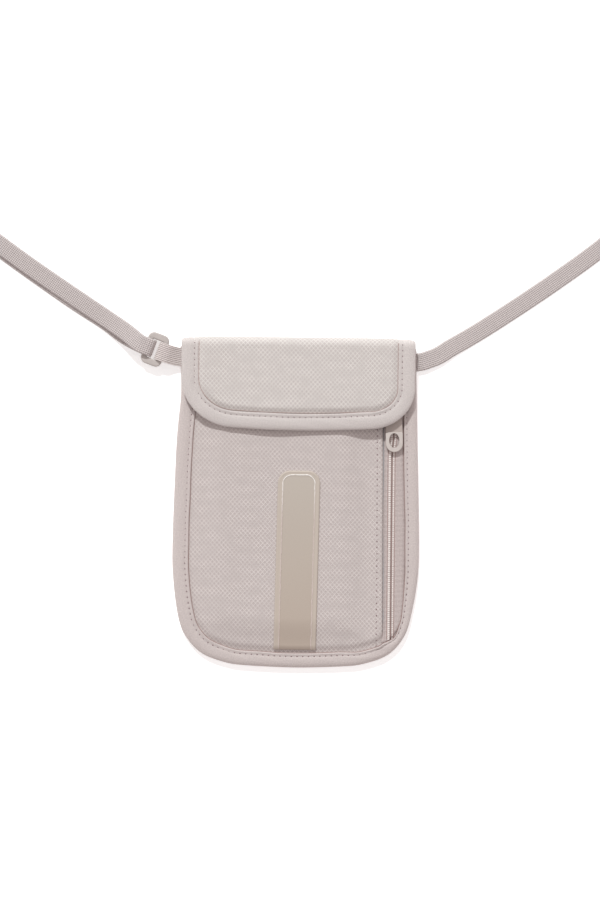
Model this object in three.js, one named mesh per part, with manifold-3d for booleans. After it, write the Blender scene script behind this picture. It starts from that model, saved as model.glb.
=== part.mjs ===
// Neck pouch wallet lying on its back: a bound fabric pouch with a zipped front pocket, a flap with a
// touch fastener, and a webbing neck strap on a ring. Millimetres: X across the pouch, Y towards the
// flap's fold, Z out of the front. The origin is under the middle of the pouch, on the surface it lies on.
import * as THREE from 'three';
import { mergeVertices } from 'three/addons/utils/BufferGeometryUtils.js';
import Module from 'manifold-3d';

// ---- Driving dimensions ----
const TOP = 92.7; // half the pouch's height, and the Y of the flap's fold
const RIGHT_SIDE = [[66.1, TOP], [67.5, 40.9], [69.2, -20], [68.6, -43.3], [65.3, -65.9], [60.2, -77.2],
  [51.5, -85.6], [38.5, -90.3], [26.7, -91.8], [0, -TOP]];
const FABRIC = 0.6;
const LINING = 0.3;
const GAP = 0.3;
const BINDING_WIDTH = 9.3;
const BINDING_THICK = 0.7;
const CAVITY_RISE = 4; // how far the front stands above the edge seam where the pouch is filled
const DIVIDER_RISE = 4.2; // the same for the lining over the main pocket
const SWELL_WIDTH = 5; // distance from the binding over which the front rises
const FOLD_START = 87; // where the flat panels end and the fold begins

const ZIP_X = 53.5;
const FRONT_EDGE_X = 48.5; // the front panel's edge beside the zip
const COIL_WIDTH = 0.9;
const COIL_GAP = 1;
const ZIP_TOP = 59;
const ZIP_BOTTOM = -58;
const STOP_LENGTH = 1.5;
const COIL_Z = [2.95, 3.4];
const SLIDER_Y = 51.4;
const TAPE_Z = 3.6;
const TAB_Z = 5.5;
const PIN_Y = 50.4;

const FLAP_HALF = 65.7;
const FLAP_BOTTOM = 41.6;
const FLAP_CORNER = [24, 20];
const FLAP_BOW = 1.2; // the lower edge sags by this much in the middle
const FLAP_Z = 7.5;
const FLAP_CHANNEL = 1.2; // room for the flap's fabric inside its binding

const WEBBING = [10, 1];
const RING_AT = [-80.3, 85, 3.5];
const RING_TILT = THREE.MathUtils.degToRad(20.3);
const RING_SIZE = [11.6, 17.6, 2.2];
const RING_BAR = 2.6;
const RING_SLOT = 10.8;
const TURN_RADIUS = 2.9; // of the strap's middle round the ring's bar, with room for the ring to swing
const GLIDE_AT = [-200, 202];

// The neck strap's route: from the pouch's right side round the neck loop, over the return layer
// through the glide and to the ring. The second list runs under the first, from the ring to the glide.
const STRAP_ROUTE = [[67, 79.6, 2], [69.6, 79.9, 1.95], [73, 81.1, 1.8], [78.7, 83.4, 1.4],
  [85.9, 88, 0.9], [93.1, 92.2, 0.6], [100.2, 96.5, 0.55], [119.2, 108.9, 0.55],
  [143.7, 125.8, 0.55], [169.1, 144.7, 0.55], [186, 159.5, 0.55], [196, 177, 0.55],
  [200, 197, 0.55], [200, 240, 0.55], [192, 270, 0.55], [170, 292, 0.55], [140, 300, 0.55],
  [70, 301, 0.55], [0, 301, 0.55], [-70, 301, 0.55], [-140, 300, 0.55], [-170, 292, 0.55],
  [-192, 270, 0.55], [-199, 245, 0.55], [-200, 225, 0.8], [-200, 214, 1.8], [-200, 202, 1.9],
  [-200, 194, 1.9], [-198.3, 182, 1.9], [-193, 169, 1.9], [-183.5, 154.5, 1.9], [-168.3, 141.7, 1.9],
  [-151, 129.5, 1.9], [-125, 112.7, 1.9], [-107.5, 101.1, 2.2], [-97.5, 94, 4]];
const RETURN_ROUTE = [[-97.5, 92.8, 0.55], [-107, 99.8, 0.55], [-125.5, 111.5, 0.55],
  [-151.5, 128.2, 0.55], [-168.8, 140.4, 0.55], [-183.8, 153.2, 0.55], [-193, 168, 0.55],
  [-198.3, 181, 0.55], [-200, 193, 0.55], [-200, 200.3, 0.55]];

// ---- Meshes ----
const wasm = await Module();
wasm.setup();

const ramp = (value, from, to) => THREE.MathUtils.smoothstep(value, from, to);
const vectors = (list) => list.map((p) => new THREE.Vector3(...p));

/** A geometry of shared vertices whose faces point out, whichever way the triangles were listed. */
function closedGeometry(positions, triangles) {
  const corner = (index) => new THREE.Vector3().fromArray(positions, index * 3);
  let volume = 0;
  for (let i = 0; i < triangles.length; i += 3) {
    const [a, b, c] = [0, 1, 2].map((k) => corner(triangles[i + k]));
    volume += a.dot(b.cross(c));
  }
  const geometry = new THREE.BufferGeometry();
  geometry.setAttribute('position', new THREE.Float32BufferAttribute(positions, 3));
  geometry.setIndex(volume < 0 ? [...triangles].reverse() : triangles);
  return geometry;
}

/** A sheet of even thickness: rows run across it from left to right, with the underside at under(x, y). */
function sheet(rows, columns, under, thickness) {
  const positions = [];
  for (const lift of [thickness, 0]) {
    for (const row of rows) {
      for (const share of columns) {
        const x = THREE.MathUtils.lerp(row.left, row.right, share);
        positions.push(x, row.y, under(x, row.y) + lift);
      }
    }
  }
  const lastRow = rows.length - 1;
  const lastColumn = columns.length - 1;
  const layer = rows.length * columns.length;
  const at = (i, j) => i * columns.length + j;
  const triangles = [];
  for (let i = 0; i < lastRow; i++) {
    for (let j = 0; j < lastColumn; j++) {
      const [a, b, c, d] = [at(i, j), at(i, j + 1), at(i + 1, j + 1), at(i + 1, j)];
      triangles.push(a, b, c, a, c, d);
      triangles.push(layer + a, layer + c, layer + b, layer + a, layer + d, layer + c);
    }
  }
  const border = [];
  for (let j = 0; j < lastColumn; j++) border.push(at(0, j));
  for (let i = 0; i < lastRow; i++) border.push(at(i, lastColumn));
  for (let j = lastColumn; j > 0; j--) border.push(at(lastRow, j));
  for (let i = lastRow; i > 0; i--) border.push(at(i, 0));
  border.forEach((a, k) => {
    const b = border[(k + 1) % border.length];
    triangles.push(b, a, layer + a, b, layer + a, layer + b);
  });
  return closedGeometry(positions, triangles);
}

/** Joins equal sections one after another and closes both ends; section is the flat outline of one. */
function loft(sections, section) {
  const count = section.length;
  const positions = sections.flat().flatMap((p) => p.toArray());
  const triangles = [];
  for (let i = 0; i < sections.length - 1; i++) {
    for (let j = 0; j < count; j++) {
      const next = (j + 1) % count;
      const [a, b, c, d] = [i * count + j, i * count + next, (i + 1) * count + next, (i + 1) * count + j];
      triangles.push(a, b, c, a, c, d);
    }
  }
  const cap = THREE.ShapeUtils.triangulateShape(section, []);
  const clockwise = THREE.ShapeUtils.isClockWise(section);
  const end = (sections.length - 1) * count;
  for (const [a, b, c] of cap) {
    const first = clockwise ? [a, b, c] : [a, c, b];
    triangles.push(...first, ...first.map((k) => k + end).reverse());
  }
  return closedGeometry(positions, triangles);
}

function solidOf(geometry) {
  const bare = geometry.clone();
  bare.deleteAttribute('normal');
  bare.deleteAttribute('uv');
  const merged = mergeVertices(bare, 1e-4);
  return new wasm.Manifold(new wasm.Mesh({
    numProp: 3,
    vertProperties: new Float32Array(merged.attributes.position.array),
    triVerts: new Uint32Array(merged.index.array),
  }));
}

function geometryOf(solid) {
  const { vertProperties, triVerts } = solid.getMesh();
  return closedGeometry([...vertProperties], [...triVerts]);
}

/** A box between two corners. */
function block(low, high) {
  const size = high.map((value, k) => value - low[k]);
  const middle = high.map((value, k) => (value + low[k]) / 2);
  return solidOf(new THREE.BoxGeometry(...size).translate(...middle));
}

const rod = (radius, length, x, y, z) =>
  solidOf(new THREE.CylinderGeometry(radius, radius, length, 16).rotateZ(Math.PI / 2).translate(x, y, z));

function roundedRectangle(width, height, radius) {
  const [w, h] = [width / 2, height / 2];
  const shape = new THREE.Shape();
  shape.absarc(w - radius, h - radius, radius, 0, Math.PI / 2);
  shape.absarc(radius - w, h - radius, radius, Math.PI / 2, Math.PI);
  shape.absarc(radius - w, radius - h, radius, Math.PI, Math.PI * 1.5);
  shape.absarc(w - radius, radius - h, radius, Math.PI * 1.5, Math.PI * 2);
  shape.closePath();
  return shape;
}

const plate = (shape, low, high, curveSegments = 6) =>
  new THREE.ExtrudeGeometry(shape, { depth: high - low, bevelEnabled: false, curveSegments })
    .translate(0, 0, low);

// ---- The pouch's outline ----
const leftSide = RIGHT_SIDE.slice(0, -1).map(([x, y]) => [-x, y]);
const seam = new THREE.SplineCurve([...leftSide, ...[...RIGHT_SIDE].reverse()].map((p) => new THREE.Vector2(...p)))
  .getPoints(76);

/** Moves an open outline, which runs anticlockwise, towards its inside. */
function inset(outline, distance) {
  return outline.map((point, k) => {
    const before = outline[Math.max(k - 1, 0)];
    const after = outline[Math.min(k + 1, outline.length - 1)];
    const along = after.clone().sub(before).normalize();
    return new THREE.Vector2(point.x - along.y * distance, point.y + along.x * distance);
  });
}

/** Half the width of a symmetrical outline at a height, from its right half. */
function halfWidth(outline, y) {
  const right = outline.slice(outline.length >> 1);
  const k = Math.max(right.findIndex((point) => point.y >= y), 1);
  const [low, high] = [right[k - 1], right[k] ?? right.at(-1)];
  return THREE.MathUtils.mapLinear(y, low.y, high.y, low.x, high.x);
}

/** Distance from the side and bottom seams. */
function fromSeam(x, y) {
  const point = new THREE.Vector3(x, Math.min(y, TOP - 10), 0);
  const line = new THREE.Line3();
  const near = new THREE.Vector3();
  let least = Infinity;
  for (let k = 1; k < seam.length; k++) {
    line.start.set(seam[k - 1].x, seam[k - 1].y, 0);
    line.end.set(seam[k].x, seam[k].y, 0);
    least = Math.min(least, line.closestPointToPoint(point, true, near).distanceTo(point));
  }
  return least;
}

const inBinding = (x, y) => 1 - ramp(fromSeam(x, y), BINDING_WIDTH + 0.3, BINDING_WIDTH + 3.7);
const swell = (x, y) =>
  Math.min(ramp(fromSeam(x, y), BINDING_WIDTH + 0.3, BINDING_WIDTH + 0.3 + SWELL_WIDTH),
    ramp(FRONT_EDGE_X - x, 0, 11));

// Undersides of the body's layers
const rearUnder = (x, y) => 0.1 + 0.9 * inBinding(x, y);
const dividerUnder = (x, y) => 1.6 + 0.3 * inBinding(x, y) + DIVIDER_RISE * swell(x, y);
const frontUnder = (x, y) => 2.5 + CAVITY_RISE * swell(x, y);
const tapeUnder = (x, y) => 2.5 + (TAPE_Z - 2.5) * ramp(fromSeam(x, y), BINDING_WIDTH + 0.2, BINDING_WIDTH + 2.2);

// Shares of a row's width at which the sheets bend: the rear and the divider, the front panel, the flap
const FULL_COLUMNS = [0, 0.025, 0.042, 0.054, 0.062, 0.07, 0.078, 0.087, 0.097, 0.108, 0.125, 0.15, 0.18,
  0.48, 0.73, 0.76, 0.775, 0.79, 0.81, 0.83, 0.85, 0.867, 0.9, 0.93, 0.955, 1];
const FRONT_COLUMNS = [0, 0.028, 0.048, 0.062, 0.072, 0.081, 0.09, 0.101, 0.113, 0.125, 0.145, 0.175, 0.21,
  0.5, 0.8, 0.87, 0.895, 0.92, 0.945, 0.965, 0.985, 1];
const FLAP_COLUMNS = [0, 0.05, 0.08, 0.1, 0.12, 0.15, 0.2, 0.5, 0.8, 0.85, 0.88, 0.9, 0.92, 0.95, 1];
const ROW_YS = [-85.5, -84, -82.5, -81, -79.5, -78, -76.5, -75, -73, -71, -68.5, -66, -62, -58, -44, -20, 10,
  40.9, 65];
const LABEL_BOTTOM = -82.5;
const LABEL_TOP_ROWS = [[10.9, 0], [14.5, 0.9], [17, 3], [17.9, 6.5]]; // height, and the corner's cut there
const LABEL_HALF = 11.85;

/** Rows of a panel that fills the seam's outline, less a margin, up to a height. */
function panelRows(margin, top, rightEdge = Infinity) {
  const outline = inset(seam, margin);
  const bottom = 0.35 + margin - TOP;
  return [bottom, bottom + 1.2, bottom + 3.2, ...ROW_YS, top].map((y) => {
    const half = halfWidth(outline, y);
    return { y, left: -half, right: Math.min(half, rightEdge) };
  });
}

const straightRows = (left, right, ys) => ys.map((y) => ({ y, left, right }));
const evenly = (count) => Array.from({ length: count + 1 }, (_, k) => k / count);

/** The binding's C-shaped section: distance in from the edge, and height above its underside. */
function bindingSection(channel) {
  const height = channel + 2 * BINDING_THICK;
  return [[0, 0], [BINDING_WIDTH, 0], [BINDING_WIDTH, BINDING_THICK], [BINDING_THICK, BINDING_THICK],
    [BINDING_THICK, height - BINDING_THICK], [BINDING_WIDTH, height - BINDING_THICK],
    [BINDING_WIDTH, height], [0, height]].map((p) => new THREE.Vector2(...p));
}

function binding(outline, channel, under) {
  const section = bindingSection(channel);
  const rails = section.map((corner) => inset(outline, corner.x));
  const sections = outline.map((_, k) => section.map((corner, j) => {
    const { x, y } = rails[j][k];
    return new THREE.Vector3(x, y, under(x, y) + corner.y);
  }));
  return loft(sections, section);
}

// ---- Body pieces ----
const belowFold = seam.filter((point) => point.y < FOLD_START - 2);
const sideAt = (y, sign) => new THREE.Vector2(sign * halfWidth(seam, y), y);
const bodyEdge = [sideAt(FOLD_START, -1), ...belowFold, sideAt(FOLD_START, 1)];

function rearLining() {
  const shape = new THREE.Shape();
  shape.moveTo(-54, 84);
  shape.absarc(-28, -50, 26, Math.PI, Math.PI * 1.5);
  shape.absarc(19, -51, 25, Math.PI * 1.5, Math.PI * 2);
  shape.lineTo(44, 84);
  shape.closePath();
  return plate(shape, 1, 1 + LINING, 8);
}

/** The folded tape over the pocket's mouth, along the front panel's top edge. */
function mouthHem() {
  const section = [[79, 0], [84.7, 0], [84.7, 1.8], [79, 1.8], [79, 1.5], [84.3, 1.5], [84.3, 0.3], [79, 0.3]]
    .map((p) => new THREE.Vector2(...p));
  const left = -halfWidth(inset(seam, 1.2), 82);
  const bends = FRONT_COLUMNS.map((share) => THREE.MathUtils.lerp(left, FRONT_EDGE_X, share));
  const stations = [-56.4, ...bends.filter((x) => x > -56 && x < 48), 48.2];
  return loft(stations.map((x) =>
    section.map((corner) => new THREE.Vector3(x, corner.x, frontUnder(x, 82) - 0.6 + corner.y))), section);
}

function labelPatch() {
  const straight = ROW_YS.filter((y) => y >= LABEL_BOTTOM && y < 10).map((y) => [y, 0]);
  const rows = [...straight, ...LABEL_TOP_ROWS].map(([y, cut]) => {
    const middle = THREE.MathUtils.mapLinear(y, LABEL_BOTTOM, 17.9, 0.1, 1.5);
    return { y, left: middle - LABEL_HALF + cut, right: middle + LABEL_HALF - cut };
  });
  return sheet(rows, evenly(4), (x, y) => frontUnder(x, y) + FABRIC + 0.2, 0.8);
}

// ---- Zip ----
const coilEdge = COIL_GAP / 2 + COIL_WIDTH;

function zipTape(sign) {
  const inner = ZIP_X + sign * (COIL_GAP / 2 - 0.1);
  const edge = (y) => (sign < 0 ? FRONT_EDGE_X + GAP : halfWidth(inset(seam, 1.2), y));
  const ys = [-73, -70, -68, -66, -64, -61, -58, -40, 0, 40, 84];
  const rows = ys.map((y) => ({ y, left: Math.min(inner, edge(y)), right: Math.max(inner, edge(y)) }));
  return sheet(rows, evenly(6), tapeUnder, LINING);
}

const zipCoil = (sign) => geometryOf(block(
  [ZIP_X + (sign < 0 ? -coilEdge : COIL_GAP / 2), ZIP_BOTTOM + STOP_LENGTH + 0.3, COIL_Z[0]],
  [ZIP_X + (sign < 0 ? -COIL_GAP / 2 : coilEdge), ZIP_TOP, COIL_Z[1]]));

// The top stop is clamped on the tapes, the bottom stop on the end of the coils under them
const zipStop = (y, [low, high]) => geometryOf(block(
  [ZIP_X - 1.9, y, low],
  [ZIP_X + 1.9, y + STOP_LENGTH, high]));

function zipSlider() {
  const leaf = (half, low, high) => {
    const shape = new THREE.Shape();
    const right = [[half * 0.7, -5], [half, 1.5], [half * 0.85, 4.6], [half * 0.35, 5]];
    const left = right.map(([x, y]) => [-x, y]).reverse();
    shape.setFromPoints([...right, ...left].map((p) => new THREE.Vector2(...p)));
    return solidOf(plate(shape, low, high));
  };
  let body = block([-0.25, 1.2, 2.6], [0.25, 4.4, 4.3]).add(leaf(2.6, 2.4, 2.75)).add(leaf(3.8, 4.1, 4.7));
  for (const side of [-1, 1]) {
    const centre = side * 3.3;
    body = body.add(block([centre - 0.4, PIN_Y - SLIDER_Y - 1.4, 4.5], [centre + 0.4, PIN_Y - SLIDER_Y + 1.4, 6.5]));
  }
  body = body.subtract(rod(0.75, 12, 0, PIN_Y - SLIDER_Y, TAB_Z));
  return geometryOf(body.translate([ZIP_X, SLIDER_Y, 0]));
}

function pullTab() {
  const outline = new THREE.Shape();
  outline.absarc(0, -17.15, 4.85, Math.PI, Math.PI * 2);
  outline.lineTo(4.4, -4.2);
  outline.lineTo(2.6, -2.2);
  outline.lineTo(2.6, 0.4);
  outline.lineTo(1.9, 1.1);
  outline.lineTo(-1.9, 1.1);
  outline.lineTo(-2.6, 0.4);
  outline.lineTo(-2.6, -2.2);
  outline.lineTo(-4.4, -4.2);
  outline.closePath();
  const hole = new THREE.Path();
  hole.absellipse(0, -15.5, 2.8, 4.1, 0, Math.PI * 2);
  outline.holes.push(hole);
  const rim = new THREE.Shape();
  rim.absarc(0, -17.15, 4.7, Math.PI, Math.PI * 2);
  rim.lineTo(4.7, -10.8);
  rim.lineTo(-4.7, -10.8);
  rim.closePath();
  rim.holes.push(hole);
  return geometryOf(solidOf(plate(outline, TAB_Z - 0.4, TAB_Z + 0.4))
    .add(solidOf(plate(rim, TAB_Z + 0.2, TAB_Z + 0.8)))
    .add(rod(0.45, 7.4, 0, 0, TAB_Z))
    .translate([ZIP_X, PIN_Y, 0]));
}

// ---- Flap ----
function flapOutline() {
  const [across, down] = FLAP_CORNER;
  const cornerX = FLAP_HALF - across;
  const right = [];
  for (const x of [0, 14, 28]) right.push([x, FLAP_BOTTOM - FLAP_BOW * (1 - (x / cornerX) ** 2)]);
  for (const share of evenly(9)) {
    const angle = (share * Math.PI) / 2;
    right.push([cornerX + across * Math.sin(angle), FLAP_BOTTOM + down * (1 - Math.cos(angle))]);
  }
  right.push([FLAP_HALF, 75], [FLAP_HALF, FOLD_START]);
  const left = right.slice(1).map(([x, y]) => [-x, y]).reverse();
  return [...left, ...right].map((p) => new THREE.Vector2(...p));
}

const flapEdge = flapOutline();
const flapUnder = (x) => FLAP_Z - ramp(Math.abs(x), 52, 66);

/** How far a point of the flap's fabric has risen out of the binding to clear the lining beneath. */
function flapRise(x, y) {
  const fromSide = FLAP_HALF - Math.abs(x);
  const fromBottom = y - FLAP_BOTTOM;
  const corner = new THREE.Vector2(Math.max(24 - fromSide, 0), Math.max(24 - fromBottom, 0)).length();
  return 1.4 * ramp(24 - corner, 9.8, 13.5);
}

const flapPanelUnder = (x, y) => flapUnder(x) + BINDING_THICK + GAP + flapRise(x, y);

function flapPanel() {
  const outline = inset(flapEdge, 1);
  const ys = [41.8, 42.8, 44.5, 47, 50, 52.5, 55, 60, 66, 75, FOLD_START];
  const rows = ys.map((y) => ({ y, left: -halfWidth(outline, y), right: halfWidth(outline, y) }));
  return sheet(rows, FLAP_COLUMNS, flapPanelUnder, FABRIC);
}

function flapFold() {
  const stations = [-65.5, -61, -57.5, -55, -52, -49, 0, 49, 52, 55, 57.5, 61, 65.5];
  const sections = stations.map((x) => {
    const start = FOLD_START + GAP;
    const low = rearUnder(x, FOLD_START);
    const high = flapPanelUnder(x, FOLD_START) + FABRIC;
    const radius = (high - low) / 2;
    const middle = (high + low) / 2;
    const arc = (r) => evenly(8).map((share) => {
      const angle = share * Math.PI;
      return [TOP - radius + r * Math.sin(angle), middle - r * Math.cos(angle)];
    });
    const outer = [[start, low], ...arc(radius), [start, high]];
    const inner = [[start, high - FABRIC], ...arc(radius - FABRIC).reverse(), [start, low + FABRIC]];
    return [...outer, ...inner].map(([y, z]) => new THREE.Vector3(x, y, z));
  });
  return loft(sections, sections[6].map((p) => new THREE.Vector2(p.y, p.z)));
}

// ---- Strap, ring, tab and glide ----
const ringFrame = (geometry) => geometry.rotateZ(-RING_TILT).translate(...RING_AT);
const toLeft = new THREE.Vector3(-Math.cos(RING_TILT), Math.sin(RING_TILT), 0);
const barFromCentre = (RING_SIZE[0] - RING_BAR) / 2;

function strapRing() {
  const shape = roundedRectangle(RING_SIZE[0], RING_SIZE[1], 3.2);
  shape.holes.push(roundedRectangle(RING_SIZE[0] - 2 * RING_BAR, RING_SLOT, 0.6));
  return ringFrame(plate(shape, -RING_SIZE[2] / 2, RING_SIZE[2] / 2));
}

/** The short webbing loop that holds the ring: an eye round its bar, and a tail sewn to the pouch. */
function strapTab() {
  const shape = new THREE.Shape();
  shape.absarc(0, 0, 2.8, Math.PI * 0.2, Math.PI * 1.8, false);
  shape.lineTo(16, -1.9);
  shape.lineTo(16, 0.1);
  shape.closePath();
  const eye = new THREE.Path();
  eye.absarc(0, 0, 1.9, 0, Math.PI * 2, true);
  shape.holes.push(eye);
  const webbing = plate(shape, -5.2, 5.2, 10).rotateX(Math.PI / 2);
  ringFrame(webbing.translate(barFromCentre, 0, 0));
  const tilted = solidOf(webbing);
  const edge = halfWidth(seam, 82);
  return geometryOf(tilted.intersect(block([-90, 60, -5], [-edge - GAP, 100, 12])));
}

/** Webbing that follows a route and keeps its width level, sampled between the route's points. */
function webbing(route, perSpan) {
  const curve = new THREE.CatmullRomCurve3(route, false, 'centripetal');
  const count = (route.length - 1) * perSpan;
  const [w, t] = [WEBBING[0] / 2, WEBBING[1] / 2];
  const section = [[-w, -t / 2], [-w + 0.3, -t], [w - 0.3, -t], [w, -t / 2], [w, t / 2], [w - 0.3, t],
    [0.3 - w, t], [-w, t / 2]].map((p) => new THREE.Vector2(...p));
  let across = new THREE.Vector3();
  const up = new THREE.Vector3(0, 0, 1);
  const sections = evenly(count).map((share) => {
    const tangent = curve.getTangent(share);
    const level = tangent.clone().cross(up);
    if (level.length() > 0.4) {
      level.normalize();
      across = across.dot(level) < 0 ? level.negate() : level;
    }
    const thick = across.clone().cross(tangent).normalize();
    const centre = curve.getPoint(share);
    return section.map((corner) =>
      centre.clone().addScaledVector(across, corner.x).addScaledVector(thick, corner.y));
  });
  return loft(sections, section);
}

/** Points of the strap's turn round the ring's outer bar, from its upper side to its lower one. */
function ringTurn() {
  const centre = new THREE.Vector3(...RING_AT).addScaledVector(toLeft, barFromCentre);
  return [-4, -1.5, 0, 0.25, 0.5, 0.75, 1, 4].map((share) => {
    const angle = THREE.MathUtils.clamp(share, 0, 1) * Math.PI;
    const straight = share < 0 ? -share : Math.max(share - 1, 0);
    return centre.clone().addScaledVector(toLeft, straight - TURN_RADIUS * Math.sin(angle))
      .add(new THREE.Vector3(0, 0, TURN_RADIUS * Math.cos(angle)));
  });
}

function neckStrap() {
  return webbing([...vectors(STRAP_ROUTE), ...ringTurn(), ...vectors(RETURN_ROUTE)], 2);
}

/** Three bars between two rails: the strap passes under the end bars and over the middle one. */
function strapAdjuster() {
  let frame = null;
  const parts = [[[-8, -7, 0.1], [-5.5, 7, 4]], [[5.5, -7, 0.1], [8, 7, 4]], [[-6, -7, 2.8], [6, -4.9, 4]],
    [[-6, 4.9, 2.8], [6, 7, 4]], [[-6, -1.3, 0.1], [6, 1.3, 1]]];
  for (const [low, high] of parts) frame = frame ? frame.add(block(low, high)) : block(low, high);
  return geometryOf(frame.translate([...GLIDE_AT, 0]));
}

// ---- Materials ----
const material = (color, roughness, metalness = 0) =>
  new THREE.MeshStandardMaterial({ color, roughness, metalness });
const panelFabric = material(0xc8bfbd, 0.9);
const bindingFabric = material(0xccc2c0, 0.85);
const liningFabric = material(0xa9a5a6, 0.7);
const touchTape = material(0xbfb4b1, 0.95);
const patch = material(0xbbb0a4, 0.5);
const zipFabric = material(0xbeb4b1, 0.85);
const coilPlastic = material(0xb8adab, 0.5);
const sliderMetal = material(0xb2a6a0, 0.45);
const tabPlastic = material(0xc4bab3, 0.5);
const webbingYarn = material(0xc3bab7, 0.85);
const ringPlastic = material(0xcac4c0, 0.4);

// ---- Assembly ----
const pouch = new THREE.Group();

function addPiece(name, geometry, look) {
  const mesh = new THREE.Mesh(geometry, look);
  mesh.name = name;
  pouch.add(mesh);
}

addPiece('rear_panel', sheet(panelRows(1.2, FOLD_START), FULL_COLUMNS, rearUnder, FABRIC), panelFabric);
addPiece('rear_lining', rearLining(), liningFabric);
addPiece('zip_pocket_lining', sheet(panelRows(1.4, 78.5), FULL_COLUMNS, dividerUnder, LINING), liningFabric);
addPiece('front_panel', sheet(panelRows(1.2, 84, FRONT_EDGE_X), FRONT_COLUMNS, frontUnder, FABRIC), panelFabric);
addPiece('mouth_hem', mouthHem(), bindingFabric);
addPiece('loop_strip', geometryOf(block([-30, 56, 7.35], [30, 72, 8.05])), touchTape);
addPiece('label_patch', labelPatch(), patch);
addPiece('body_binding', binding(bodyEdge, 2.7, () => 0), bindingFabric);
addPiece('zip_tape_left', zipTape(-1), zipFabric);
addPiece('zip_tape_right', zipTape(1), zipFabric);
addPiece('zip_coil_left', zipCoil(-1), coilPlastic);
addPiece('zip_coil_right', zipCoil(1), coilPlastic);
addPiece('zip_top_stop', zipStop(ZIP_TOP - STOP_LENGTH, [4.1, 4.6]), coilPlastic);
addPiece('zip_bottom_stop', zipStop(ZIP_BOTTOM, COIL_Z), coilPlastic);
addPiece('zip_slider', zipSlider(), sliderMetal);
addPiece('zip_pull_tab', pullTab(), tabPlastic);
addPiece('flap_panel', flapPanel(), panelFabric);
addPiece('flap_lining', plate(roundedRectangle(100, 31, 9), 9.3, 9.6).translate(0, 71, 0), liningFabric);
addPiece('hook_strip', geometryOf(block([-30, 56, 8.3], [30, 72, 9])), touchTape);
addPiece('flap_binding', binding(flapEdge, FLAP_CHANNEL, flapUnder), bindingFabric);
addPiece('flap_fold', flapFold(), panelFabric);
addPiece('strap_tab', strapTab(), webbingYarn);
addPiece('strap_ring', strapRing(), ringPlastic);
addPiece('neck_strap', neckStrap(), webbingYarn);
addPiece('strap_adjuster', strapAdjuster(), ringPlastic);

export default pouch;
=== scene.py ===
import math

import bpy
import numpy as np
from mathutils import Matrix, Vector


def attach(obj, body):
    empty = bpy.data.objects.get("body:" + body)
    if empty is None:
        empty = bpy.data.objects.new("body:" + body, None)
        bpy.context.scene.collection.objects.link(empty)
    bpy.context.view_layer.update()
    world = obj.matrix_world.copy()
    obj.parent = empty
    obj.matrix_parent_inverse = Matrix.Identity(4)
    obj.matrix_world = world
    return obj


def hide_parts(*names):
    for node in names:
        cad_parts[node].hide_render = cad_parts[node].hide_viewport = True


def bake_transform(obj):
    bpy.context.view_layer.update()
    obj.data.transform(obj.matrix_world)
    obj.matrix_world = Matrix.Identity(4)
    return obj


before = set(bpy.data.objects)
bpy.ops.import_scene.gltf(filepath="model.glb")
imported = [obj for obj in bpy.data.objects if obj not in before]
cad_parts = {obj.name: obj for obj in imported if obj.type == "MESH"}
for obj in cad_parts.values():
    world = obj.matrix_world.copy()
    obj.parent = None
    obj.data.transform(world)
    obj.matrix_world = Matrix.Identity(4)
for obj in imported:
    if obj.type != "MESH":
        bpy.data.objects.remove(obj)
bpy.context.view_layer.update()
MM = 0.001

# ---- The frame's own dimensions, in millimetres ----
TOP = 92.7
RIGHT_SIDE = [(66.1, TOP), (67.5, 40.9), (69.2, -20), (68.6, -43.3), (65.3, -65.9), (60.2, -77.2),
              (51.5, -85.6), (38.5, -90.3), (26.7, -91.8), (0, -TOP)]
RING_AT = np.array([-80.3, 85, 3.5])
RING_TILT = math.radians(20.3)
TO_LEFT = np.array([-math.cos(RING_TILT), math.sin(RING_TILT), 0])
BAR_FROM_CENTRE = 4.5
TURN_RADIUS = 2.9
STITCH_PITCH = 3.2
THREAD_SIZE = np.array([0.95, 0.2, 0.16])
HOLE_SIZE = np.array([0.43, 0.36, 0.13])
LOWEST_STRAP = 0.56
STRAP_ROUTE = [(67, 79.6, 2), (69.6, 79.9, 1.95), (73, 81.1, 1.8), (78.7, 83.4, 1.4),
               (85.9, 88, 0.9), (93.1, 92.2, 0.6), (100.2, 96.5, 0.55), (119.2, 108.9, 0.55),
               (143.7, 125.8, 0.55), (169.1, 144.7, 0.55), (186, 159.5, 0.55), (196, 177, 0.55),
               (200, 197, 0.55), (200, 240, 0.55), (192, 270, 0.55), (170, 292, 0.55), (140, 300, 0.55),
               (70, 301, 0.55), (0, 301, 0.55), (-70, 301, 0.55), (-140, 300, 0.55), (-170, 292, 0.55),
               (-192, 270, 0.55), (-199, 245, 0.55), (-200, 225, 0.8), (-200, 214, 1.8), (-200, 202, 1.9),
               (-200, 194, 1.9), (-198.3, 182, 1.9), (-193, 169, 1.9), (-183.5, 154.5, 1.9), (-168.3, 142.9, 1.9),
               (-151, 130.6, 1.9), (-125, 113.2, 1.9), (-107.5, 101.7, 2.2), (-97.5, 95, 4)]
RETURN_ROUTE = [(-97.5, 92.8, 0.55), (-107, 99.8, 0.55), (-125.5, 111.5, 0.55),
                (-151.5, 129.2, 0.55), (-168.8, 141.5, 0.55), (-183.8, 153.2, 0.55), (-193, 168, 0.55),
                (-198.3, 181, 0.55), (-200, 193, 0.55), (-200, 200.3, 0.55)]


# ---- Curves and heights ----
def ramp(value, start, end):
    """A smooth step from 0 at start to 1 at end."""
    t = np.clip((np.asarray(value, float) - start) / (end - start), 0, 1)
    return t * t * (3 - 2 * t)


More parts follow.
